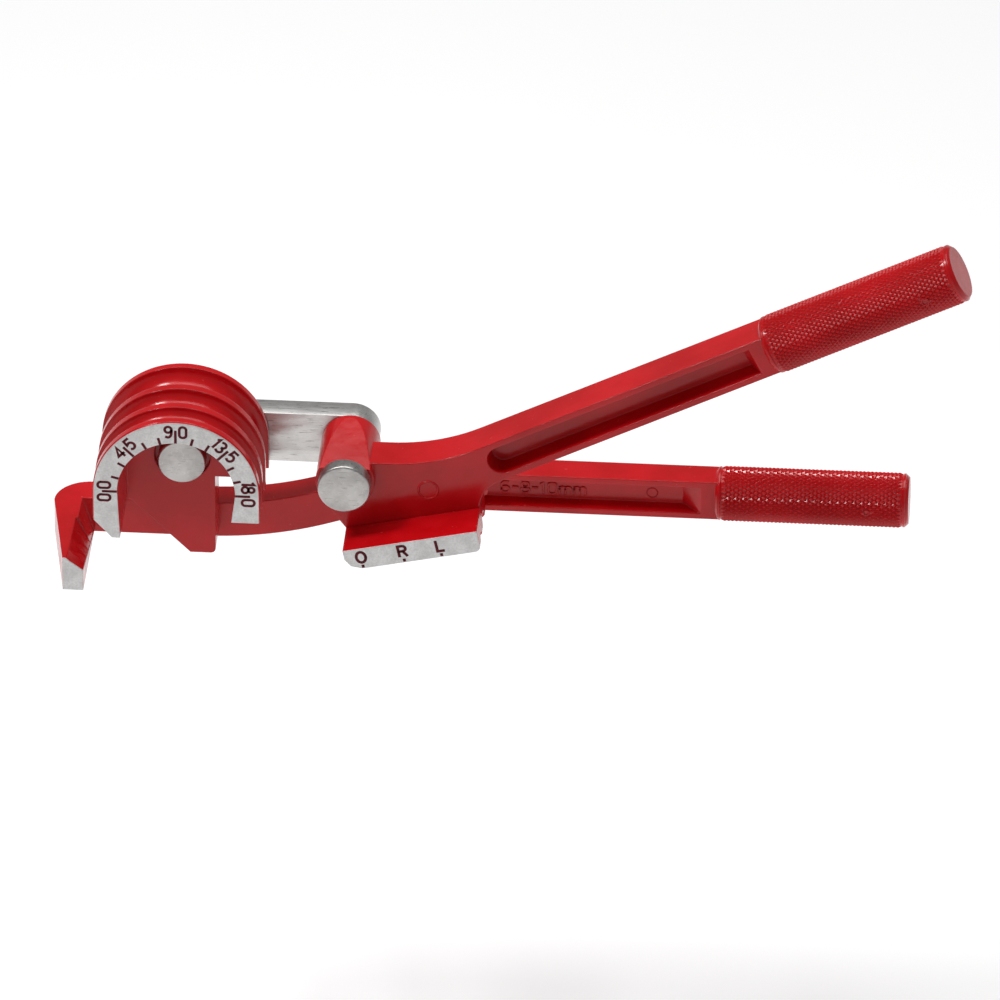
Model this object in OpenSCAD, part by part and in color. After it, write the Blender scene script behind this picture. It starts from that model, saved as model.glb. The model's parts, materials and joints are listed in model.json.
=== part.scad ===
// Hand-held 180 degree tube bender for three tube sizes.
// X runs along the lower handle, Y runs back through the tool, Z is up. Millimetres.
// The origin is on the bending axis, in the plane of the ground front faces.

/* [Tubes] */
// Outside diameter of the tube for the front groove
tube_front = 6; // [5:0.5:6]
// Outside diameter of the tube for the middle groove
tube_middle = 8; // [7:0.5:8]
// Outside diameter of the tube for the back groove
tube_back = 10; // [9:0.5:10]
// Play between a tube and its groove, on the radius
groove_play = 0.1; // [0.05:0.05:0.15]

/* [Bending wheel] */
// Bend radius to the middle of the tube, which is also the radius of the flanges
bend_r = 26.3; // [25.5:0.1:26.5]
// Width of each flange beside the grooves
flange_w = 3; // [2.8:0.1:3]
// Inner radius of the rim
rim_in_r = 18.6; // [18:0.1:19]
// Depth of the web's front face behind the scale face
web_front = 23; // [22:0.5:24]

/* [Handles] */
// Thickness of the lower handle, front to back
lower_t = 10; // [9:0.5:11]
// Thickness of the upper handle, front to back
upper_t = 13; // [12:0.5:13.5]
// Height of both handle beams
beam_h = 13.4; // [12.8:0.1:13.8]
// Radius of the lower grip, at the bottom of its knurl
lower_grip_r = 8.2; // [8:0.1:8.4]
// Radius of the upper grip, at the bottom of its knurl
upper_grip_r = 9; // [8.8:0.1:9.2]
// Length of the lower grip
lower_grip_l = 61; // [50:1:64]
// Length of the upper grip
upper_grip_l = 66.5; // [50:0.5:70]
// Overall length of the lower handle, from the hook to the end of the grip
lower_l = 270; // [262:1:280]
// Angle of the upper handle above the lower one, as the tool is put down
upper_angle = 26.7; // [24:0.1:29]

/* [Link and pins] */
// Length of the link between its two pins
link_l = 52.2; // [52:0.1:53]
// Width of the link bar
link_w = 17.5; // [16:0.5:18]
// Thickness of the link bar
link_t = 8; // [6:0.5:8]
// Radius of both pin shanks
pin_r = 4.5; // [4:0.1:5]
// Head radius of the pin at the bending axis
centre_head_r = 7.6; // [7.2:0.1:8]
// Head radius of the pin through the upper handle
shoe_head_r = 8.3; // [8:0.1:9]

/* [Hidden] */
$fn = 72;
over = 1;
skin = 0.02;

// Layers, from the front faces back
tube_d = [tube_front, tube_middle, tube_back];
groove_y = [flange_w + tube_front / 2, 2 * flange_w + tube_front + tube_middle / 2,
    3 * flange_w + tube_front + tube_middle + tube_back / 2];
wheel_w = 4 * flange_w + tube_front + tube_middle + tube_back;
link_front = wheel_w + 0.2;
link_back = link_front + link_t;
lower_mid = wheel_w + lower_t / 2;
upper_front = 14.2;
upper_back = upper_front + upper_t;
upper_mid = upper_front + upper_t / 2;
hub_back = wheel_w - 0.1;
shoe_back = wheel_w - 0.4;

// Ends of the rim below the bending axis, the web and its lug
rim_left_z = -17;
rim_right_z = -9.8;
rim_edge = 0.5;
rim_draft = 1;
rim_corner = [6, 6.6];
rim_taper = [0.8, 1.3];
web_right_z = -7.3;
web_left_z = -16.9;
lug_x = [2.2, 10.2];
lug_z = -35.7;
lug_corner = 1.6;
seat_r = 8.9;
seat_depth = 2;
centre_head_t = 6.2;

// Lower handle: the neck passes behind the wheel, then rises to the beam
neck_z = [-37.6, -25.4];
beam_z = [-24, -24 + beam_h];
rise_x = [6, 86];
hook_left = -41.9;
hook_z = -37;
hook_back_r = 11.3;
hook_tip = [-36.1, -29.6];
hook_root = -29.4;
hook_step = 24.3;
// Slanted cuts on the finger, front and back of the step: x at the top at both ends, then
// the depth they reach on the inner face at both ends
hook_cut_front = [-35, -34.2, -29.4, -34.6];
hook_cut_back = [-33.4, -33.2, -34.6, hook_z];
lower_end = hook_left + lower_l;
lower_grip_x = lower_end - lower_grip_l;

// Upper handle, measured from its pin: the middle of the beam passes below the pin
axis_drop = 14.6;
upper_grip_a = 141;
boss_r = 9.3;
boss_front = 11.3;
boss_climb = 11;
cheek_top = 5.3;
top_r = 63;
under_r = 11.5;
cheek_inset = 0.4;
cheek_left = [[-8, -3], [-4, -13.4]];

// Shoe: its grooved face just clears the wheel's flanges when it presses a tube on the wheel
shoe_gap = 0.3;
shoe_angle = 12.4;
shoe_face = bend_r + shoe_gap - link_l;
shoe_t = 7.2;
shoe_u = [-4, 39.2];
shoe_nose = [5, 4];
shoe_nose_mid = [1.5, 1.4];
shoe_round = 2;

// Pockets in the front faces of the beams
pocket_w = 9.6;
pocket_draft = 1.2;
pocket_margin = 4.5;
upper_pocket_a = 43;
upper_pocket_d = 6;
upper_pocket_end = 3.6;
lower_pocket_a = 88;
lower_pocket_d = 4;
lower_pocket_end = 6;

// Pin and screw fittings
shoe_head_t = 4.8;
head_edge = 0.4;
run_play = 0.05;
end_play = 0.05;
washer_r = 7.4;
washer_t = 1.2;
rivet_r = 6;
rivet_t = 1.6;
screw_xz = [[-1, -29.4], [6, -31.2]];
screw_r = 2;
screw_play = 0.1;
screw_l = 18;
screw_head_r = 3.4;
screw_head_t = 2.2;
socket_r = 1.5;
socket_t = 1.3;
grip_edge = 0.8;

// Lays a drawing made in X and Z out between the depths y0 and y1
module slab(y0, y1) {
    translate([0, y1, 0]) rotate([90, 0, 0]) linear_extrude(height = y1 - y0) children();
}

// A round bar or hole along Y between the depths y0 and y1, centred on [x, z]
module bar(p, y0, y1, r, r2 = 0) {
    translate([p[0], y0, p[1]]) rotate([-90, 0, 0]) cylinder(h = y1 - y0, r1 = r, r2 = r2 > 0 ? r2 : r);
}

// Points along an arc round c, from angle a0 to angle a1
function arc(c, r, a0, a1, n = 12) =
    [for (i = [0:n]) let (a = a0 + (a1 - a0) * i / n) c + r * [cos(a), sin(a)]];

// Points along two equal arcs that climb from p to q and are level at both ends
function climb(p, q) =
    let (w = q[0] - p[0], h = q[1] - p[1], r = (w * w + h * h) / (4 * h), half = asin(w / (2 * r)))
    concat(arc([p[0], p[1] + r], r, -90, -90 + half), arc([q[0], q[1] - r], r, 90 + half, 90));

// The point u along and v across a line that leaves the origin at angle a
function along(a, u, v) = [u * cos(a) - v * sin(a), u * sin(a) + v * cos(a)];

// The list in the other direction
function back(list) = [for (i = [len(list) - 1:-1:0]) list[i]];

// A grip of radius r and length l along X, with both edges broken
module grip(r, l) {
    rotate([0, 90, 0]) rotate_extrude() polygon([[0, 0], [r - grip_edge, 0], [r, grip_edge],
        [r, l - grip_edge], [r - grip_edge, l], [0, l]]);
}

// Outline of a beam pocket from a to b, inset by s on three sides and by e at the far end
module pocket_outline(a, b, s, e) {
    r = pocket_w / 2 - s;
    translate([a + s + r, 0]) circle(r = r, $fn = 32);
    translate([a + s + r, -r]) square([b - e - a - s - r, 2 * r]);
}

// A pocket d deep with sloping walls, cut into the face at depth y; its far end slopes over the length e
module pocket(a, b, y, d, e) {
    hull() {
        slab(y - over, y - over + skin) pocket_outline(a, b, -pocket_draft * over / d, -e * over / d);
        slab(y + d - skin, y + d) pocket_outline(a, b, pocket_draft, e);
    }
}

// ---- Lower handle ----

// Neck and beam, in X and Z
module lower_outline() {
    polygon(concat([[hook_root - over / 2, neck_z[0]]],
        climb([rise_x[0], neck_z[0]], [rise_x[1], beam_z[0]]),
        [[lower_grip_x + over, beam_z[0]], [lower_grip_x + over, beam_z[1]]],
        back(climb([rise_x[0], neck_z[1]], [rise_x[1], beam_z[1]])),
        [[hook_root - over / 2, neck_z[1]]]));
}

// Finger and its arm from above, in X and Y
module hook_plan() {
    polygon(concat([[hook_tip[0], 0], [hook_tip[1], 0], [hook_root, wheel_w]],
        [[hook_root, wheel_w + lower_t]],
        arc([hook_left + hook_back_r, wheel_w + lower_t - hook_back_r], hook_back_r, 90, 180)));
}

// One end of a slanted cut: from x at the top of the finger to its inner face at depth z
module hook_cut_end(y0, y1, x, z) {
    slab(y0, y1) polygon([[x, neck_z[1]], [x, neck_z[1] + over],
        [hook_root + over, neck_z[1] + over], [hook_root + over, z], [hook_tip[1], z]]);
}

// Slanted, twisting cut c along the finger's inner edge between the depths y0 and y1, in n lengths
module hook_cut(y0, y1, c, n) {
    for (i = [0:n - 1]) {
        a = i / n;
        b = (i + 1) / n;
        hull() {
            hook_cut_end(y0 + a * (y1 - y0), y0 + a * (y1 - y0) + skin, c[0] + a * (c[1] - c[0]),
                c[2] + a * (c[3] - c[2]));
            hook_cut_end(y0 + b * (y1 - y0) - skin, y0 + b * (y1 - y0), c[0] + b * (c[1] - c[0]),
                c[2] + b * (c[3] - c[2]));
        }
    }
}

module former_handle() {
    color("firebrick") difference() {
        union() {
            slab(wheel_w, wheel_w + lower_t) lower_outline();
            translate([0, 0, hook_z]) linear_extrude(height = neck_z[1] - hook_z) hook_plan();
            translate([lower_grip_x, lower_mid, (beam_z[0] + beam_z[1]) / 2])
                grip(lower_grip_r, lower_grip_l);
        }
        hook_cut(-over, hook_step, hook_cut_front, 4);
        hook_cut(hook_step, wheel_w, hook_cut_back, 2);
        translate([0, 0, (beam_z[0] + beam_z[1]) / 2])
            pocket(lower_pocket_a, lower_grip_x - pocket_margin, wheel_w, lower_pocket_d, lower_pocket_end);
        for (p = screw_xz) bar(p, wheel_w - over, wheel_w + lower_t + over, screw_r + screw_play);
    }
}
former_handle();

// ---- Bending wheel ----

// Half section of the rim: radius across the page, depth up the page
module rim_section() {
    difference() {
        polygon([[rim_in_r, 0], [bend_r - rim_edge, 0], [bend_r, rim_edge], [bend_r, wheel_w - rim_edge],
            [bend_r - rim_edge, wheel_w], [rim_in_r - rim_draft, wheel_w],
            [rim_in_r - rim_draft, web_front]]);
        for (i = [0:2]) translate([bend_r, groove_y[i]]) circle(r = tube_d[i] / 2 + groove_play);
    }
}

// The straight end of the rim on one side, down to depth z
module rim_end(side, z) {
    translate([0, 0, z]) linear_extrude(height = -z) mirror([side < 0 ? 1 : 0, 0]) rim_section();
}

// The rim's straight ends grow thicker by t towards their tips
module rim_wedge(side, z, t) {
    slab(0, web_front) mirror([side < 0 ? 1 : 0, 0])
        polygon([[rim_in_r, 0], [rim_in_r - t, z], [rim_in_r + over, z], [rim_in_r + over, 0]]);
}

// Web inside the rim, with the lug that stands on the lower handle
module web_outline() {
    r = rim_in_r - rim_draft + over / 2;
    polygon(concat([[lug_x[0], lug_z]],
        arc([lug_x[1] - lug_corner, lug_z + lug_corner], lug_corner, -90, 0, 6),
        [[lug_x[1], web_right_z], [r, web_right_z], [r, 0]],
        arc([0, 0], r, 4, 176, 43),
        [[-r, 0], [-r, web_left_z], [lug_x[0] + lug_z - web_left_z, web_left_z]]));
}

module bending_wheel() {
    color("firebrick") difference() {
        union() {
            rotate([-90, 0, 0]) rotate([0, 0, 180]) rotate_extrude(angle = 180) rim_section();
            rim_end(-1, rim_left_z);
            rim_end(1, rim_right_z);
            rim_wedge(-1, rim_left_z, rim_taper[0]);
            rim_wedge(1, rim_right_z, rim_taper[1]);
            slab(web_front, wheel_w) web_outline();
        }
        // Corner off the left end of the rim
        slab(-over, wheel_w + over) polygon([[-bend_r - over, rim_left_z + rim_corner[1]],
            [-bend_r, rim_left_z + rim_corner[1]], [-bend_r + rim_corner[0], rim_left_z],
            [-bend_r + rim_corner[0], rim_left_z - over], [-bend_r - over, rim_left_z - over]]);
        bar([0, 0], web_front - over, wheel_w + over, pin_r);
        bar([0, 0], web_front - over, web_front + seat_depth, seat_r);
        for (p = screw_xz) bar(p, wheel_w + lower_t - screw_l, wheel_w + over, screw_r);
    }
}
bending_wheel();

// ---- Screws that hold the wheel on the lower handle, from behind ----

module wheel_screw(p) {
    back_y = wheel_w + lower_t;
    difference() {
        union() {
            bar(p, back_y - screw_l, back_y, screw_r);
            bar(p, back_y, back_y + screw_head_t - head_edge, screw_head_r);
            bar(p, back_y + screw_head_t - head_edge, back_y + screw_head_t, screw_head_r,
                screw_head_r - head_edge);
        }
        translate([p[0], back_y + screw_head_t - socket_t, p[1]]) rotate([-90, 0, 0])
            cylinder(h = socket_t + over, r = socket_r, $fn = 6);
    }
}

module wheel_screws() {
    color("dimgray") for (p = screw_xz) wheel_screw(p);
}
wheel_screws();

// ---- Link bar ----

module link_bar() {
    color("silver") difference() {
        union() {
            bar([0, 0], link_front, link_back, link_w / 2);
            bar([link_l, 0], link_front, link_back, link_w / 2);
            slab(link_front, link_back) translate([0, -link_w / 2]) square([link_l, link_w]);
        }
        bar([0, 0], link_front - over, link_back + over, pin_r + run_play);
        bar([link_l, 0], link_front - over, link_back + over, pin_r);
    }
}
link_bar();

// ---- Pins and washers ----

// A pin at x with a head t thick: the head's underside is at y0, the tail is riveted over at y1
module headed_pin(x, y0, y1, r, t) {
    bar([x, 0], y0 - t, y0 - t + head_edge, r - head_edge, r);
    bar([x, 0], y0 - t + head_edge, y0, r);
    bar([x, 0], y0, y1, pin_r);
    bar([x, 0], y1, y1 + rivet_t / 2, rivet_r);
    bar([x, 0], y1 + rivet_t / 2, y1 + rivet_t, rivet_r, rivet_r - rivet_t / 2);
}

module washer(x, y0) {
    color("silver") difference() {
        bar([x, 0], y0, y0 + washer_t, washer_r);
        bar([x, 0], y0 - over, y0 + washer_t + over, pin_r);
    }
}

module centre_pin() {
    color("silver") headed_pin(0, web_front + seat_depth, link_back + end_play + washer_t,
        centre_head_r, centre_head_t);
}
centre_pin();

module centre_washer() {
    washer(0, link_back + end_play);
}
centre_washer();

module shoe_pin() {
    color("silver") headed_pin(link_l, boss_front - end_play, link_back + washer_t,
        shoe_head_r, shoe_head_t);
}
shoe_pin();

module shoe_washer() {
    washer(link_l, link_back);
}
shoe_washer();

// ---- Upper handle with its shoe, drawn round its pin ----

// Cheek and beam, in X and Z
module upper_outline() {
    a = upper_angle;
    top_v = -axis_drop + beam_h / 2;
    under_v = -axis_drop - beam_h / 2;
    // Where the level top of the cheek would meet the top of the beam
    top_x = (cheek_top * cos(a) - top_v) / sin(a);
    top_run = top_r * tan(a / 2);
    // The cheek's lower corners, inside the block of the shoe, and where its right edge
    // would meet the underside of the beam
    left = along(shoe_angle, shoe_u[0] + cheek_inset, shoe_face + shoe_t - over);
    right = along(shoe_angle, shoe_u[1] - cheek_inset, shoe_face + shoe_t - over);
    under_z = (right[0] * sin(a) + under_v) / cos(a);
    under_run = under_r / tan((90 + a) / 2);
    polygon(concat([[0, cheek_top]], cheek_left, [left, right],
        back(arc([right[0] + under_r, under_z - under_run], under_r, 90 + a, 180)),
        [along(a, upper_grip_a + over, under_v), along(a, upper_grip_a + over, top_v)],
        back(arc([top_x - top_run, cheek_top + top_r], top_r, -90, -90 + a))));
}

// Block of the shoe, in its own line
module shoe_outline() {
    v = shoe_face;
    polygon(concat([[shoe_u[0], v + shoe_t], [shoe_u[0], v + shoe_nose[1]],
        [shoe_u[0] + shoe_nose_mid[0], v + shoe_nose_mid[1]],
        [shoe_u[0] + shoe_nose[0], v]],
        arc([shoe_u[1] - shoe_round, v + shoe_round], shoe_round, -90, 0, 6),
        [[shoe_u[1], v + shoe_t]]));
}

// The shoe's block without its grooves, in place at its angle
module shoe_block() {
    rotate([0, -shoe_angle, 0]) slab(0, shoe_back) shoe_outline();
}

// Round boss for the pin; its flat top leaves the cheek's top edge and climbs to the back
module boss() {
    y0 = boss_front - over;
    y1 = hub_back + over;
    difference() {
        bar([0, 0], boss_front, hub_back, boss_r);
        translate([-boss_r - over, 0, 0]) rotate([90, 0, 90]) linear_extrude(height = 2 * (boss_r + over))
            polygon([[y0, cheek_top + (y0 - upper_front) * tan(boss_climb)],
                [y1, cheek_top + (y1 - upper_front) * tan(boss_climb)],
                [y1, boss_r + over], [y0, boss_r + over]]);
    }
}

// Boss, cheek, beam and grip; the cheek ends on top of the shoe
module shoe_handle() {
    color("firebrick") translate([link_l, 0, 0]) difference() {
        union() {
            slab(upper_front, upper_back) upper_outline();
            boss();
            rotate([0, -upper_angle, 0]) translate([upper_grip_a, upper_mid, -axis_drop])
                grip(upper_grip_r, upper_grip_l);
        }
        shoe_block();
        bar([0, 0], boss_front - over, hub_back + over, pin_r + run_play);
        rotate([0, -upper_angle, 0]) translate([0, 0, -axis_drop])
            pocket(upper_pocket_a, upper_grip_a - pocket_margin, upper_front, upper_pocket_d,
                upper_pocket_end);
    }
}
shoe_handle();

// The shoe under the cheek, with a groove for each tube in its lower face
module bending_shoe() {
    color("firebrick") translate([link_l, 0, 0]) difference() {
        shoe_block();
        rotate([0, -shoe_angle, 0]) for (i = [0:2])
            translate([shoe_u[0] - over, groove_y[i], shoe_face]) rotate([0, 90, 0])
                cylinder(h = shoe_u[1] - shoe_u[0] + 2 * over, r = tube_d[i] / 2 + groove_play);
    }
}
bending_shoe();
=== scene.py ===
import json
import math
import bmesh
import bpy
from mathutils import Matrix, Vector


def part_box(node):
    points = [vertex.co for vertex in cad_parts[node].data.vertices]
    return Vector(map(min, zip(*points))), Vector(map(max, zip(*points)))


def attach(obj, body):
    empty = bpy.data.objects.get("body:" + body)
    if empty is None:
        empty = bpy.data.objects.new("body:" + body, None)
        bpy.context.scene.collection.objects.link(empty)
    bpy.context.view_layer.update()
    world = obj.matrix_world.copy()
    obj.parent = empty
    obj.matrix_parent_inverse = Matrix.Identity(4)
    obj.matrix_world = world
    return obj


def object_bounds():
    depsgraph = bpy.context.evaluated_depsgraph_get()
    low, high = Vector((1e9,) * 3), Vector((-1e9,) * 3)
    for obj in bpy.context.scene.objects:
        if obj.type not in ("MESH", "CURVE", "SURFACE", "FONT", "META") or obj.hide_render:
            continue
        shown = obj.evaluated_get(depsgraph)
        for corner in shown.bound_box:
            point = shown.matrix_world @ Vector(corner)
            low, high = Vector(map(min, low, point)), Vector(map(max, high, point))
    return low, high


# A red hand-held tube bender: materials for the cast and steel parts of the frame, and the fine
# pieces that stand on them: knurling, scale digits, shoe marks, cast size marks and mould marks.
# Everything is in metres, so sizes are written as millimetres times MM.

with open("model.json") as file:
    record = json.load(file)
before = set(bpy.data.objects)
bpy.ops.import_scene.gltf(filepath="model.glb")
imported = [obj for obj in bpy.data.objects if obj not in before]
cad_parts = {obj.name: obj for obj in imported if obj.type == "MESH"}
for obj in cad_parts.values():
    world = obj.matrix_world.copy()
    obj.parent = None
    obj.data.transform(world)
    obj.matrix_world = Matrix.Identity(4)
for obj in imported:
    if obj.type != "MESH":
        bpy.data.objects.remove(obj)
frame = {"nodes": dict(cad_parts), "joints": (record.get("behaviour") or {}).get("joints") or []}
cad_lo, cad_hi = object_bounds()

MM = 0.001
NODES = frame["nodes"]
SCENE = bpy.context.scene

# ---------------------------------------------------------------- what the frame says

JOINTS = {joint["name"]: joint for joint in frame["joints"]}
PIN = Vector(JOINTS["upper_handle_pivot"]["pos_m"])
LOWER_END_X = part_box("former_handle")[1].x

# Directions of the upper handle and its shoe at rest, and the way out of every front face
UPPER_ANGLE = math.radians(26.7)
SHOE_ANGLE = math.radians(12.4)
FRONT = Vector((0, -1, 0))

# ---------------------------------------------------------------- small helpers


def along(angle, u, v, y=0.0):
    """The point u along and v across a line that leaves the pin at an angle, in metres."""
    return Vector((PIN.x + u * math.cos(angle) - v * math.sin(angle), y,
                   PIN.z + u * math.sin(angle) + v * math.cos(angle)))


def mesh_piece(name, bm, material, body, smooth=True):
    """Turns a bmesh into an object with one material that rides on a body."""
    mesh = bpy.data.meshes.new(name)
    bmesh.ops.recalc_face_normals(bm, faces=bm.faces)
    bm.to_mesh(mesh)
    bm.free()
    obj = bpy.data.objects.new(name, mesh)
    SCENE.collection.objects.link(obj)
    mesh.materials.append(material)
    for face in mesh.polygons:
        face.use_smooth = smooth
    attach(obj, body)
    return obj


class Nodes:
    """A material's node tree, with short calls for the nodes that the materials here use."""

    def __init__(self, name):
        self.material = bpy.data.materials.new(name)
        self.material.use_nodes = True
        self.tree = self.material.node_tree
        self.tree.nodes.clear()
        self.out = self.tree.nodes.new("ShaderNodeOutputMaterial")
        self.coord = self.tree.nodes.new("ShaderNodeTexCoord").outputs["Object"]

    def link(self, a, b):
        self.tree.links.new(a, b)

    def put(self, socket, value):
        if isinstance(value, bpy.types.NodeSocket):
            self.link(value, socket)
        else:
            socket.default_value = value

    def product(self, a, b):
        node = self.tree.nodes.new("ShaderNodeMath")
        node.operation = "MULTIPLY"
        self.put(node.inputs[0], a)
        self.put(node.inputs[1], b)
        return node.outputs[0]

    def ramp(self, value, lo, hi, out_lo=0.0, out_hi=1.0):
        """Runs smoothly from out_lo to out_hi while value runs from lo to hi."""
        node = self.tree.nodes.new("ShaderNodeMapRange")
        node.interpolation_type = "SMOOTHSTEP"
        for key, item in (("Value", value), ("From Min", lo), ("From Max", hi),
                          ("To Min", out_lo), ("To Max", out_hi)):
            self.put(node.inputs[key], item)
        return node.outputs[0]

    def scaled(self, scale, rotation=(0, 0, 0)):
        """Object coordinates, turned and then stretched."""
        node = self.tree.nodes.new("ShaderNodeMapping")
        node.inputs["Rotation"].default_value = rotation
        node.inputs["Scale"].default_value = scale
        self.link(self.coord, node.inputs["Vector"])
        return node.outputs[0]

    def noise(self, scale, detail=3.0, rough=0.5, vector=None):
        node = self.tree.nodes.new("ShaderNodeTexNoise")
        node.inputs["Scale"].default_value = scale
        node.inputs["Detail"].default_value = detail
        node.inputs["Roughness"].default_value = rough
        self.link(vector or self.coord, node.inputs["Vector"])
        return node.outputs["Fac"]

    def mix(self, fac, a, b):
        node = self.tree.nodes.new("ShaderNodeMix")
        node.data_type = "RGBA"
        self.put(node.inputs["Factor"], fac)
        self.put(node.inputs["A"], a)
        self.put(node.inputs["B"], b)
        return next(o for o in node.outputs if o.type == "RGBA")

    def bump(self, height, strength, distance, normal=None):
        node = self.tree.nodes.new("ShaderNodeBump")
        node.inputs["Strength"].default_value = strength
        node.inputs["Distance"].default_value = distance
        self.link(height, node.inputs["Height"])
        if normal:
            self.link(normal, node.inputs["Normal"])
        return node.outputs[0]

    def depth(self):
        """How far back a point lies, from the plane of the ground front faces."""
        node = self.tree.nodes.new("ShaderNodeSeparateXYZ")
        self.link(self.coord, node.inputs[0])
        return node.outputs["Y"]

    def shader(self, **inputs):
        node = self.tree.nodes.new("ShaderNodeBsdfPrincipled")
        for key, value in inputs.items():
            self.put(node.inputs[key.replace("_", " ")], value)
        return node.outputs[0]

    def finish(self, surface):
        self.link(surface, self.out.inputs["Surface"])
        return self.material


# ---------------------------------------------------------------- materials

WHITE = (1, 1, 1, 1)
RED = ((0.43, 0.002, 0.004, 1), (0.54, 0.004, 0.008, 1))
CHIP = (0.7, 0.12, 0.12, 1)
BARE = ((0.6, 0.585, 0.58, 1), (0.76, 0.75, 0.745, 1))
BARE_GRIT = (0.4, 0.39, 0.385, 1)
LINK_STEEL = ((0.55, 0.54, 0.525, 1), (0.68, 0.67, 0.655, 1))
PIN_STEEL = ((0.36, 0.345, 0.335, 1), (0.52, 0.505, 0.49, 1))
SCRATCH = (0.22, 0.21, 0.2, 1)
# Engraved marks: red paint, made much darker than the enamel as painted shade of the recesses they fill
MARK_RED_AND_SHADE = ((0.07, 0.003, 0.008, 1), (0.125, 0.005, 0.012, 1))
SCREW_BLACK = ((0.03, 0.03, 0.035, 1), (0.09, 0.09, 0.095, 1))
# Softened edges of the castings and of the knurl, and the depth to which front faces are ground
CASTING_EDGE = 0.6 * MM
KNURL_EDGE = 0.05 * MM
GROUND_DEPTH = (0.16 * MM, 0.2 * MM)


def red_enamel(name, ground=True, edge=CASTING_EDGE):
    """Glossy red enamel on a casting, with the faces in the plane y = 0 ground bare."""
    n = Nodes(name)
    soft = n.tree.nodes.new("ShaderNodeBevel")
    soft.samples = 6
    soft.inputs["Radius"].default_value = edge
    tone = n.noise(38.0, 4.0, 0.55)
    fine = n.noise(900.0, 2.0, 0.5)
    paint = n.mix(n.ramp(tone, 0.35, 0.68), *RED)
    # A few pin-sized chips and dull specks
    speck = n.ramp(n.noise(700.0, 1.0, 0.4), 0.76, 0.79)
    paint = n.mix(n.product(speck, 0.25), paint, CHIP)
    rough = n.ramp(n.noise(150.0, 3.0, 0.6), 0.3, 0.7, 0.14, 0.24)
    peel = n.bump(n.noise(230.0, 2.0, 0.5), 0.16, 0.4 * MM, soft.outputs[0])
    peel = n.bump(fine, 0.05, 0.1 * MM, peel)
    enamel = n.shader(Base_Color=paint, Roughness=rough, IOR=1.45, Specular_IOR_Level=0.42,
                      Normal=peel)
    if not ground:
        return n.finish(enamel)
    # Bare aluminium: fine crossed grinding lines and a cloudy tone
    lines = n.noise(1.0, 3.0, 0.6, n.scaled((180.0, 3000.0, 5200.0), (0, 0.5, 0)))
    cloud = n.noise(210.0, 4.0, 0.65)
    bare = n.mix(n.ramp(cloud, 0.3, 0.7), *BARE)
    grit = n.noise(1500.0, 2.0, 0.7)
    bare = n.mix(n.ramp(grit, 0.35, 0.7, 0.0, 0.35), bare, BARE_GRIT)
    bare_rough = n.ramp(lines, 0.3, 0.7, 0.42, 0.58)
    metal = n.shader(Base_Color=bare, Metallic=0.55, Roughness=bare_rough,
                     Normal=n.bump(lines, 0.12, 0.1 * MM, soft.outputs[0]))
    mask = n.ramp(n.depth(), *GROUND_DEPTH, 1.0, 0.0)
    both = n.tree.nodes.new("ShaderNodeMixShader")
    n.link(mask, both.inputs[0])
    n.link(enamel, both.inputs[1])
    n.link(metal, both.inputs[2])
    return n.finish(both.outputs[0])


def brushed_steel(name, colours, grain, roughest):
    """Steel with a directional grain, cloudy patches and a few deeper scratches."""
    n = Nodes(name)
    lines = n.noise(1.0, 4.0, 0.6, n.scaled(grain))
    cloud = n.noise(95.0, 4.0, 0.6)
    colour = n.mix(n.ramp(cloud, 0.3, 0.7), *colours)
    scratch = n.ramp(n.noise(1.0, 2.0, 0.5, n.scaled((260.0, 900.0, 2600.0), (0, 0.9, 0))),
                     0.62, 0.68)
    colour = n.mix(n.product(scratch, 0.55), colour, SCRATCH)
    rough = n.ramp(lines, 0.3, 0.7, 0.26, roughest)
    normal = n.bump(lines, 0.1, 0.12 * MM)
    normal = n.bump(scratch, 0.12, 0.1 * MM, normal)
    return n.finish(n.shader(Base_Color=colour, Metallic=0.92, Roughness=rough, Normal=normal))


def mark_paint(name):
    """Red paint in the engraved marks, slightly uneven; its dark tone is painted shade of the engravings'
    recesses.
    """
    n = Nodes(name)
    tone = n.noise(700.0, 3.0, 0.6)
    colour = n.mix(n.ramp(tone, 0.3, 0.7), *MARK_RED_AND_SHADE)
    return n.finish(n.shader(Base_Color=colour, Roughness=0.6, Specular_IOR_Level=0.2))


def dark_screw(name):
    """Black oxide on the hidden screws."""
    n = Nodes(name)
    tone = n.noise(500.0, 3.0, 0.6)
    colour = n.mix(tone, *SCREW_BLACK)
    return n.finish(n.shader(Base_Color=colour, Metallic=0.8, Roughness=0.38))


CASTING = red_enamel("red_enamel_ground")
ENAMEL = red_enamel("red_enamel", ground=False)
LINK = brushed_steel("link_steel", LINK_STEEL, (160.0, 4000.0, 5200.0), 0.4)
PINS = brushed_steel("pin_steel", PIN_STEEL, (900.0, 900.0, 1400.0), 0.42)
KNURL_ENAMEL = red_enamel("red_enamel_knurl", ground=False, edge=KNURL_EDGE)
MARKS = mark_paint("mark_paint")
SCREWS = dark_screw("screw_steel")

NODE_MATERIALS = {
    "former_handle": CASTING, "bending_wheel": CASTING, "shoe_handle": CASTING, "bending_shoe": CASTING,
    "link_bar": LINK, "centre_pin": PINS, "centre_washer": PINS,
    "shoe_pin": PINS, "shoe_washer": PINS, "wheel_screws": SCREWS,
}
# Width of the broken edges on the turned and sawn steel parts
NODE_EDGES = {"link_bar": 0.35 * MM, "centre_pin": 0.2 * MM, "shoe_pin": 0.2 * MM}


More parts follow.
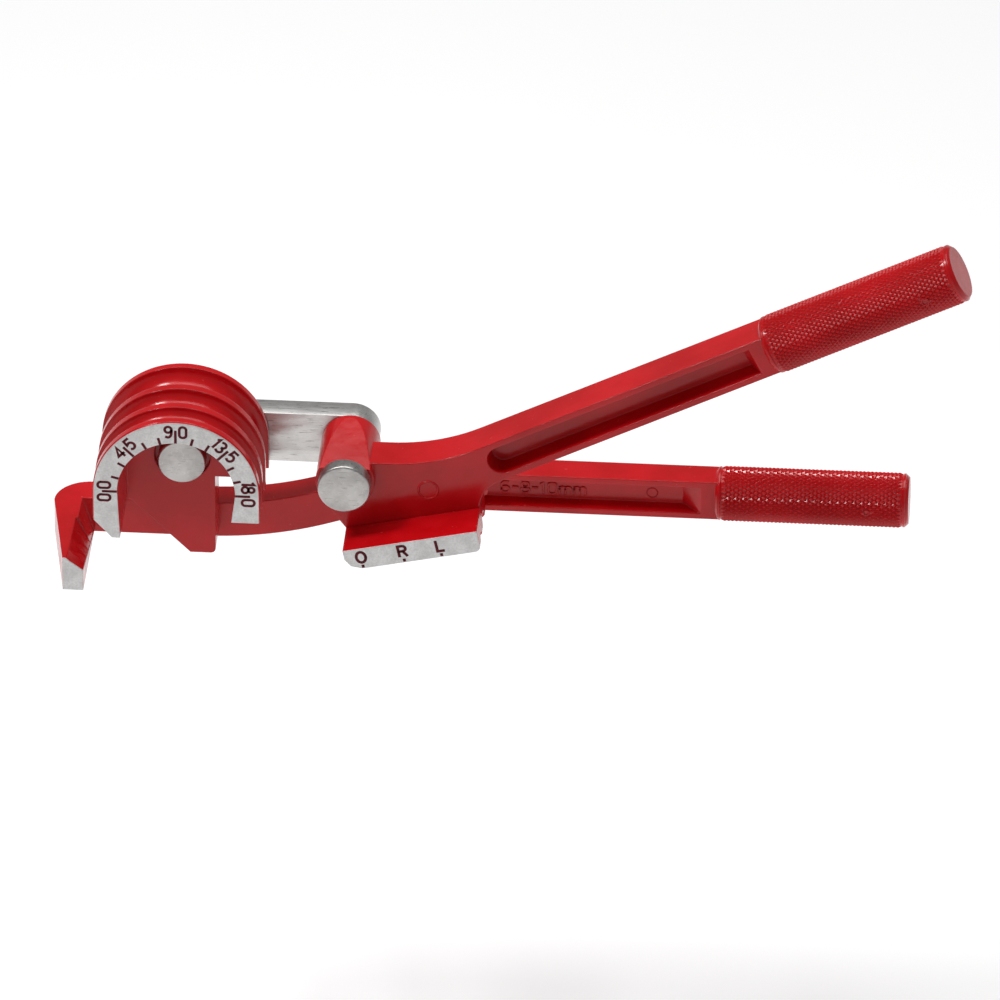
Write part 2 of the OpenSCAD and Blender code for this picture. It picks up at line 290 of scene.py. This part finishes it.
def soften(node, width):
    """Rounds a CAD part's sharp edges with modifiers; its own shape stays as it is."""
    weld = node.modifiers.new("weld", "WELD")
    weld.merge_threshold = 0.002 * MM
    flat = node.modifiers.new("flat", "DECIMATE")
    flat.decimate_type = "DISSOLVE"
    flat.angle_limit = math.radians(0.6)
    bevel = node.modifiers.new("edges", "BEVEL")
    bevel.width = width
    bevel.segments = 3
    bevel.limit_method = "ANGLE"
    bevel.angle_limit = math.radians(28)
    bevel.harden_normals = True
    for face in node.data.polygons:
        face.use_smooth = True


for name, node in NODES.items():
    node.data.materials.clear()
    node.data.materials.append(NODE_MATERIALS[name])
    if name in NODE_EDGES:
        soften(node, NODE_EDGES[name])

# ---------------------------------------------------------------- knurled grips

# The grips of the castings: their broken edges, places, lengths and radii
GRIP_EDGE = 0.8 * MM
LOWER_MID_Y = 41.0 * MM
LOWER_MID_Z = -17.3 * MM
LOWER_GRIP_L = 61.0 * MM
LOWER_GRIP_R = 8.2 * MM
UPPER_MID_Y = 20.7 * MM
UPPER_DROP = -14.6 * MM
UPPER_GRIP_A = 141.0 * MM
UPPER_GRIP_L = 66.5 * MM
UPPER_GRIP_R = 9.0 * MM

# Diamonds: their height, the length of one pair of rows, and how many go round each grip
KNURL_HEIGHT = 0.5 * MM
KNURL_PITCH = 2.4 * MM
LOWER_COUNT = 36
UPPER_COUNT = 40
# Height of the valleys above the casting, depth of the hidden inner wall below its surface,
# and the part of a diamond that its flat top takes up
VALLEY = 0.04 * MM
WALL = 0.3 * MM
FLAT = 0.1
# Plain bands at the inner and outer ends; each is a low rim that drops to the wall at its edge
BAND_IN = 1.0 * MM
BAND_OUT = 1.3 * MM
RIM_STEPS = ((0.25, 0.7 * KNURL_HEIGHT), (0.75, 0.65 * KNURL_HEIGHT), (1.0, -WALL))
# Mould spots near the ends of the grips: distance from the grip's start, angle, radius.
# The knurl is pressed down to this part of its height there.
LOWER_SPOT = (47.1 * MM, math.radians(180.0), 1.3 * MM)
UPPER_SPOT = (53.6 * MM, math.radians(176.5), 1.7 * MM)
PRESSED = 0.25
SPOT_LIFT = 0.05 * MM


def put(bm, basis, origin, x, around, r):
    """A vertex of a round grip: x along it, an angle around it, and a radius."""
    lengthways, side, top = basis
    return bm.verts.new(origin + lengthways * x + side * (r * math.cos(around))
                        + top * (r * math.sin(around)))


def knurl(name, body, origin, direction, length, r, count, dimple):
    """A sleeve of diamond knurling: blunt pyramids in rows that alternate, between plain bands.

    dimple is (distance along, angle, radius) of a spot where the knurl is pressed flat.
    Gives the middle of that spot, the way out of it and the way along the grip."""
    lengthways = direction.normalized()
    side = Vector((0, 1, 0))
    basis = (lengthways, side, lengthways.cross(side) * -1)
    bm = bmesh.new()
    turn = 2 * math.pi / count
    rows = 2 * int((length - BAND_IN - BAND_OUT) / KNURL_PITCH)
    step = (length - BAND_IN - BAND_OUT) / rows
    valley = r + VALLEY
    crest = r + KNURL_HEIGHT

    def spot(x, around, radius):
        """A vertex, pressed flat if it lies inside the dimple."""
        dx = x - dimple[0]
        da = (around - dimple[1] + math.pi) % (2 * math.pi) - math.pi
        if math.hypot(dx, da * r) < dimple[2]:
            radius = min(radius, valley + PRESSED * KNURL_HEIGHT)
        return put(bm, basis, origin, x, around, radius)

    # Corners of the diamonds lie in the valleys, on every other half step
    corners = {}
    for a in range(rows + 1):
        for b in range(2 * count):
            if (a + b) % 2:
                corners[a, b] = spot(BAND_IN + a * step, b * turn / 2, valley)
    for a in range(1, rows):
        for b in range(2 * count):
            if (a + b) % 2:
                continue
            base = [corners[a - 1, b], corners[a, (b + 1) % (2 * count)],
                    corners[a + 1, b], corners[a, (b - 1) % (2 * count)]]
            top = [spot(BAND_IN + (a + da * FLAT) * step, (b + db * FLAT) * turn / 2, crest)
                   for da, db in ((-1, 0), (0, 1), (1, 0), (0, -1))]
            for i in range(4):
                j = (i + 1) % 4
                bm.faces.new((base[i], base[j], top[j], top[i]))
            bm.faces.new(top)
    # Half diamonds at both ends, then a plain band and a chamfer down to the casting
    lips = []
    for a, inner, sign, start, band in ((0, 1, -1, BAND_IN, BAND_IN),
                                        (rows, rows - 1, 1, length - BAND_OUT, BAND_OUT)):
        edge = []
        for b in range(2 * count):
            if (a + b) % 2:
                edge.append(corners[a, b])
            else:
                edge.append(spot(BAND_IN + a * step, b * turn / 2, valley))
                bm.faces.new((corners[inner, b], corners[a, (b - 1) % (2 * count)], edge[-1]))
                bm.faces.new((corners[inner, b], edge[-1], corners[a, (b + 1) % (2 * count)]))
        last = edge
        for part, rise in RIM_STEPS:
            ring = [spot(start + sign * part * band, b * turn / 2, r + rise)
                    for b in range(2 * count)]
            for b in range(2 * count):
                c = (b + 1) % (2 * count)
                bm.faces.new((last[b], last[c], ring[c], ring[b]))
            last = ring
        lips.append(last)
    # The inner wall, just under the casting's own surface
    walls = [[put(bm, basis, origin, x, b * turn / 2, r - WALL) for b in range(2 * count)]
             for x in (WALL, length - WALL)]
    for lip, wall in ((lips[0], walls[0]), (lips[1], walls[1]), (walls[0], walls[1])):
        for b in range(2 * count):
            c = (b + 1) % (2 * count)
            bm.faces.new((lip[b], lip[c], wall[c], wall[b]))
    sleeve = mesh_piece(name, bm, KNURL_ENAMEL, body, smooth=False)
    normal = basis[1] * math.cos(dimple[1]) + basis[2] * math.sin(dimple[1])
    centre = origin + lengthways * dimple[0] + normal * (valley + SPOT_LIFT)
    return centre, normal, lengthways


lower_spot = knurl(
    "lower_knurl", "lower_handle",
    Vector((LOWER_END_X - LOWER_GRIP_L + GRIP_EDGE, LOWER_MID_Y, LOWER_MID_Z)), Vector((1, 0, 0)),
    LOWER_GRIP_L - 2 * GRIP_EDGE, LOWER_GRIP_R, LOWER_COUNT, LOWER_SPOT)
upper_spot = knurl(
    "upper_knurl", "upper_handle", along(UPPER_ANGLE, UPPER_GRIP_A + GRIP_EDGE, UPPER_DROP, UPPER_MID_Y),
    along(UPPER_ANGLE, 1, 0) - PIN,
    UPPER_GRIP_L - 2 * GRIP_EDGE, UPPER_GRIP_R, UPPER_COUNT, UPPER_SPOT)

# ---------------------------------------------------------------- marks and letters



def arc_points(cx, cy, rx, ry, start, end, n=10):
    """Points along part of an ellipse round (cx, cy), from one angle to another in degrees."""
    turns = [math.radians(start + (end - start) * i / n) for i in range(n + 1)]
    return [(cx + rx * math.cos(t), cy + ry * math.sin(t)) for t in turns]


# Strokes of each sign on a grid about 2 wide and 4 high, centred on the middle of the sign;
# a stroke is a list of points
SIGNS = {
    "0": [arc_points(0, 1, 1, 1, 0, 180) + arc_points(0, -1, 1, 1, 180, 360) + [(1, 1)]],
    "1": [[(-0.6, 1.35), (0.1, 2), (0.1, -2)]],
    "3": [arc_points(-0.05, 1, 1.0, 1, 140, -90) + arc_points(0, -1, 1.05, 1, 90, -140)],
    "4": [[(0.5, -2), (0.5, 2), (-1.1, -0.9), (1.15, -0.9)]],
    "5": [[(0.95, 2), (-0.75, 2), (-0.9, 0.15)] + arc_points(-0.05, -0.75, 1.05, 1.25, 130, -135, 12)],
    "6": [[(0.75, 1.75)] + arc_points(0.05, 0.1, 1.05, 1.9, 75, 180, 8)
          + arc_points(0, -0.9, 1, 1.1, 180, 540, 16)],
    "8": [arc_points(0, 1.05, 0.85, 0.95, -90, 270, 16), arc_points(0, -0.95, 1.05, 1.05, 90, 450, 16)],
    "9": [[(-0.75, -1.75)] + arc_points(-0.05, -0.1, 1.05, 1.9, -105, 0, 8)
          + arc_points(0, 0.9, 1, 1.1, 0, 360, 16)],
    "-": [[(-0.7, 0), (0.7, 0)]],
    "O": [arc_points(0, 0, 1.35, 2, 0, 360, 24)],
    "R": [[(-1.1, -2), (-1.1, 2), (0.1, 2)] + arc_points(0.1, 1, 1.0, 1, 80, -90, 8)
          + [(-1.05, 0)], [(0.1, 0), (1.2, -2)]],
    "L": [[(-0.9, 2), (-0.9, -2), (1.1, -2)]],
    "m": [[(-1.4, -2), (-1.4, 0.7)],
          [(-1.4, -0.2)] + arc_points(-0.7, -0.1, 0.7, 0.8, 170, 0, 8) + [(0.0, -2)],
          [(0.0, -0.2)] + arc_points(0.7, -0.1, 0.7, 0.8, 170, 0, 8) + [(1.4, -2)]],
}
# Room that a sign takes on the same grid, where it isn't SIGN_WIDTH
SIGN_WIDTH = 2.1
SIGN_WIDTHS = {"1": 1.1, "-": 1.4, "O": 2.7, "R": 2.3, "L": 2.0, "m": 2.9}
SIGN_GRID = 4

# A stroke runs past its end points by this part of its half width, a reversal is turned as if
# straight, and a mitre is never longer than this
STROKE_END = 0.3
REVERSAL = 0.2
MITRE = 0.45


def ribbon(bm, points, half, thick, place):
    """A flat ribbon along a line of points: a closed solid with mitred corners and square ends."""
    pts = [Vector((x, y, 0)) for x, y in points]
    rails = []
    for i, p in enumerate(pts):
        before = (p - pts[i - 1]).normalized() if i else None
        after = (pts[i + 1] - p).normalized() if i + 1 < len(pts) else None
        if before is None or after is None:
            d = after if before is None else before
            n = Vector((-d.y, d.x, 0))
            p = p + d * half * (-STROKE_END if before is None else STROKE_END)
            rails.append((p + n * half, p - n * half))
            continue
        mean = before + after
        if mean.length < REVERSAL:
            mean = before
        mean.normalize()
        n = Vector((-mean.y, mean.x, 0))
        reach = half / max(MITRE, n.dot(Vector((-before.y, before.x, 0))))
        rails.append((p + n * reach, p - n * reach))
    levels = []
    for z in (0.0, thick):
        levels.append([(bm.verts.new(place(a.x, a.y, z)), bm.verts.new(place(b.x, b.y, z)))
                       for a, b in rails])
    low, top = levels
    for i in range(len(pts) - 1):
        for quad in ((top[i][0], top[i][1], top[i + 1][1], top[i + 1][0]),
                     (low[i][0], low[i + 1][0], low[i + 1][1], low[i][1]),
                     (low[i][0], top[i][0], top[i + 1][0], low[i + 1][0]),
                     (low[i][1], low[i + 1][1], top[i + 1][1], top[i][1])):
            bm.faces.new(quad)
    for i in (0, len(pts) - 1):
        bm.faces.new((low[i][0], low[i][1], top[i][1], top[i][0]))


def write(bm, text, centre, up, right, out, height, half, thick, spread=1.0, gap=0.0):
    """Writes signs centred on a point, with the given upward, rightward and outward directions."""
    unit = height / SIGN_GRID
    total = sum(SIGN_WIDTHS.get(c, SIGN_WIDTH) for c in text) * unit * spread + gap * (len(text) - 1)
    x = -total / 2
    for c in text:
        w = SIGN_WIDTHS.get(c, SIGN_WIDTH) * unit * spread
        mid = x + w / 2
        for stroke in SIGNS[c]:
            ribbon(bm, [(mid + a * unit * spread, b * unit) for a, b in stroke], half, thick,
                   lambda a, b, z: centre + right * a + up * b + out * z)
        x += w + gap


# Painted marks: how far they stand off the ground face, and half the width of a stroke
SKIN = 0.03 * MM
STROKE = 0.43 * MM

# The scale: inner radius of the ring and of its ticks, radius of the digits' middles, lengths of
# the ticks that have digits and of the others, and how far digits stand from their tick. A spread
# is how much wider than the grid a sign is drawn.
RING_IN = 18.6 * MM
TICK_IN = RING_IN + 0.15 * MM
SCALE_R = 22.7 * MM
LONG_TICK = 4.6 * MM
SHORT_TICK = 2.4 * MM
TICK_EVERY = 15
DIGIT_HEIGHT = 3.9 * MM
DIGIT_GAP = 0.3 * MM
DIGIT_SPREAD = 1.1
DIGIT_SHIFT = 2.3 * MM
PAIR_SHIFT = 0.9 * MM
DIGITS = {0: ("0", "0"), 45: ("4", "5"), 90: ("9", "0"), 135: ("13", "5"), 180: ("18", "0")}

# The shoe's letters and their places along the shoe; the middle of the letters and the foot of
# the short lines under them, across the shoe from the pin
SHOE_LETTERS = (("O", 1.3 * MM), ("R", 14.6 * MM), ("L", 26.6 * MM))
LETTER_V = -21.5 * MM
LINE_V = -25.2 * MM
LINE_LENGTH = 0.8 * MM
LETTER_HEIGHT = 3.8 * MM
LETTER_STROKE = STROKE * 1.1
LETTER_SPREAD = 1.15

# The tube sizes cast in the lower pocket, whose floor is at POCKET_Y
POCKET_Y = 40.0 * MM
SIZES_X = 112.6 * MM
SIZES_HEIGHT = 4.1 * MM
SIZES_STROKE = 0.34 * MM
SIZES_GAP = 0.9 * MM
SIZES_SPREAD = 1.25
SIZES_RISE = 0.45 * MM
SIZES_SINK = 0.02 * MM


def scale_marks():
    """Degree scale on the wheel's ground face, read clockwise from the left."""
    bm = bmesh.new()
    for angle in range(0, 181, TICK_EVERY):
        a = math.radians(180 - angle)
        up = Vector((math.cos(a), 0, math.sin(a)))
        right = Vector((math.sin(a), 0, -math.cos(a)))

        def place(x, y, z):
            return right * x + up * y + FRONT * z

        end = RING_IN + (LONG_TICK if angle in DIGITS else SHORT_TICK)
        ribbon(bm, [(0, TICK_IN), (0, end)], STROKE, SKIN, place)
        for text, side in zip(DIGITS.get(angle, ()), (-1, 1)):
            shift = side * (DIGIT_SHIFT + PAIR_SHIFT * (len(text) - 1))
            write(bm, text, up * SCALE_R + right * shift, up, right, FRONT, DIGIT_HEIGHT, STROKE,
                  SKIN, DIGIT_SPREAD, DIGIT_GAP)
    marks = mesh_piece("scale_marks", bm, MARKS, "lower_handle", smooth=False)


def shoe_marks():
    """Letters on the shoe's ground face with a short line under each."""
    up = along(SHOE_ANGLE, 0, 1) - PIN
    right = along(SHOE_ANGLE, 1, 0) - PIN
    bm = bmesh.new()
    for text, u in SHOE_LETTERS:
        centre = along(SHOE_ANGLE, u, LETTER_V)
        write(bm, text, centre, up, right, FRONT, LETTER_HEIGHT, LETTER_STROKE, SKIN,
              LETTER_SPREAD)
        foot = along(SHOE_ANGLE, u, LINE_V)
        ribbon(bm, [(0, 0), (0, LINE_LENGTH)], LETTER_STROKE, SKIN,
               lambda x, y, z: foot + right * x + up * y + FRONT * z)
    marks = mesh_piece("shoe_marks", bm, MARKS, "upper_handle", smooth=False)


RING_SIDES = 48
RING_SINK = 0.06 * MM
RING_SHOULDER = 0.7


def ring_mark(name, body, centre, r, half, height, normal=FRONT, first=Vector((1, 0, 0))):
    """A raised ring with a rounded top, as a mould leaves it, on a face with the given normal.

    r is the ring's radius, half is half its width, and first is a direction along the face."""
    bm = bmesh.new()
    second = normal.cross(first)
    shoulder = (half * RING_SHOULDER, height * RING_SHOULDER)
    section = [(-half, -RING_SINK), (-shoulder[0], shoulder[1]), (0, height), shoulder,
               (half, -RING_SINK)]
    rings = []
    for i in range(RING_SIDES):
        t = 2 * math.pi * i / RING_SIDES
        d = first * math.cos(t) + second * math.sin(t)
        rings.append([bm.verts.new(centre + d * (r + a) + normal * h) for a, h in section])
    for i in range(RING_SIDES):
        j = (i + 1) % RING_SIDES
        for k in range(len(section)):
            m = (k + 1) % len(section)
            bm.faces.new((rings[i][k], rings[j][k], rings[j][m], rings[i][m]))
    ring = mesh_piece(name, bm, ENAMEL, body)


def cast_sizes():
    """Raised tube sizes on the floor of the lower pocket."""
    bm = bmesh.new()
    write(bm, "6-8-10mm", Vector((SIZES_X, POCKET_Y + SIZES_SINK, LOWER_MID_Z)), Vector((0, 0, 1)),
          Vector((1, 0, 0)), FRONT, SIZES_HEIGHT, SIZES_STROKE, SIZES_RISE, SIZES_SPREAD,
          SIZES_GAP)
    sizes = mesh_piece("cast_sizes", bm, ENAMEL, "lower_handle", smooth=False)
    bevel = sizes.modifiers.new("edges", "BEVEL")
    bevel.width = 0.1 * MM
    bevel.segments = 2
    bevel.limit_method = "ANGLE"


scale_marks()
shoe_marks()
ring_mark("cheek_ring", "upper_handle", Vector((78.2, 14.2, -3.7)) * MM, 3.1 * MM, 0.4 * MM, 0.22 * MM)
ring_mark("pocket_ring", "lower_handle", Vector((147.0, 40.0, -17.5)) * MM, 1.7 * MM, 0.25 * MM, 0.12 * MM)
cast_sizes()
ring_mark("lower_spot", "lower_handle", lower_spot[0], 0.9 * MM, 0.3 * MM, 0.2 * MM, *lower_spot[1:])
ring_mark("upper_spot", "upper_handle", upper_spot[0], 1.2 * MM, 0.35 * MM, 0.25 * MM, *upper_spot[1:])

# ---------------------------------------------------------------- stage, lights and camera

# The floor lies under the lowest reach of the upper handle, which swings 170 mm below the hook
FLOOR_DROP = 175 * MM
FLOOR_REACH = 30.0
FLOOR_GREY = ((0.8, 0.8, 0.8, 1), (0.82, 0.82, 0.82, 1))
FLOOR_GLOW = 0.36


def stage():
    """A plain pale floor under the tool, wide enough to be a backdrop too."""
    bm = bmesh.new()
    bm.faces.new([bm.verts.new((x * FLOOR_REACH, y * FLOOR_REACH, cad_lo.z - FLOOR_DROP))
                  for x, y in ((-1, -1), (1, -1), (1, 1), (-1, 1))])
    mesh = bpy.data.meshes.new("floor")
    bm.to_mesh(mesh)
    bm.free()
    floor = bpy.data.objects.new("floor", mesh)
    SCENE.collection.objects.link(floor)
    n = Nodes("floor_paint")
    tone = n.noise(3.0, 2.0, 0.5)
    mesh.materials.append(n.finish(n.shader(
        Base_Color=n.mix(tone, *FLOOR_GREY), Roughness=0.9,
        Emission_Color=WHITE, Emission_Strength=FLOOR_GLOW)))


def area_light(name, place, aim, size, power):
    """A soft square light at a place, facing a point."""
    data = bpy.data.lights.new(name, "AREA")
    data.shape = "SQUARE"
    data.size = size
    data.energy = power
    light = bpy.data.objects.new(name, data)
    SCENE.collection.objects.link(light)
    light.location = place
    light.rotation_mode = "QUATERNION"
    light.rotation_quaternion = (Vector(aim) - Vector(place)).to_track_quat("-Z", "Y")


# World light at the horizon and overhead, and where it changes from one to the other
HORIZON = 0.55
OVERHEAD = 0.24
HORIZON_BAND = (0.02, 0.2)
# Place from the middle of the tool, size of the square in metres, and power in watts
AREA_LIGHTS = {
    "overhead": (Vector((0.0, 0.2, 1.0)), 0.9, 8.2),
    "key_left": (Vector((-0.6, -0.1, 0.85)), 0.2, 4.4),
}


def lights():
    """A pale studio that is brighter at the horizon, with a wide light above and a small one left."""
    world = bpy.data.worlds.new("studio")
    world.use_nodes = True
    tree = world.node_tree
    back = tree.nodes["Background"]
    back.inputs["Color"].default_value = WHITE
    split = tree.nodes.new("ShaderNodeSeparateXYZ")
    tree.links.new(tree.nodes.new("ShaderNodeTexCoord").outputs["Generated"], split.inputs[0])
    height = tree.nodes.new("ShaderNodeMapRange")
    height.interpolation_type = "SMOOTHSTEP"
    for key, value in (("From Min", HORIZON_BAND[0]), ("From Max", HORIZON_BAND[1]),
                       ("To Min", HORIZON), ("To Max", OVERHEAD)):
        height.inputs[key].default_value = value
    tree.links.new(split.outputs["Z"], height.inputs["Value"])
    tree.links.new(height.outputs[0], back.inputs["Strength"])
    SCENE.world = world
    middle = (cad_lo + cad_hi) / 2
    for name, (offset, size, power) in AREA_LIGHTS.items():
        area_light(name, middle + offset, middle, size, power)


# The view: from a little right of square on, and from above, with the width that the picture
# covers at the tool, and where its middle is from the bending axis
VIEW_AZIMUTH = math.radians(4.3)
VIEW_ELEVATION = math.radians(32.0)
VIEW_DISTANCE = 6.0
VIEW_WIDTH = 313.48 * MM
AIM_RIGHT = 101.57 * MM
AIM_UP = -1.88 * MM
SENSOR = 36.0


def camera():
    """A long lens at the viewing angle; the bending axis sits left of the picture's middle."""
    a = VIEW_AZIMUTH
    e = VIEW_ELEVATION
    back = Vector((math.sin(a) * math.cos(e), -math.cos(a) * math.cos(e), math.sin(e)))
    right = Vector((math.cos(a), math.sin(a), 0))
    up = back.cross(right)
    aim = right * AIM_RIGHT + up * AIM_UP
    data = bpy.data.cameras.new("camera")
    data.sensor_width = SENSOR
    data.lens = SENSOR * VIEW_DISTANCE / VIEW_WIDTH
    data.clip_end = 100.0
    cam = bpy.data.objects.new("camera", data)
    SCENE.collection.objects.link(cam)
    cam.location = aim + back * VIEW_DISTANCE
    cam.rotation_mode = "QUATERNION"
    cam.rotation_quaternion = (-back).to_track_quat("-Z", "Y")
    SCENE.camera = cam


stage()
lights()
camera()
SCENE.view_settings.view_transform = "Standard"
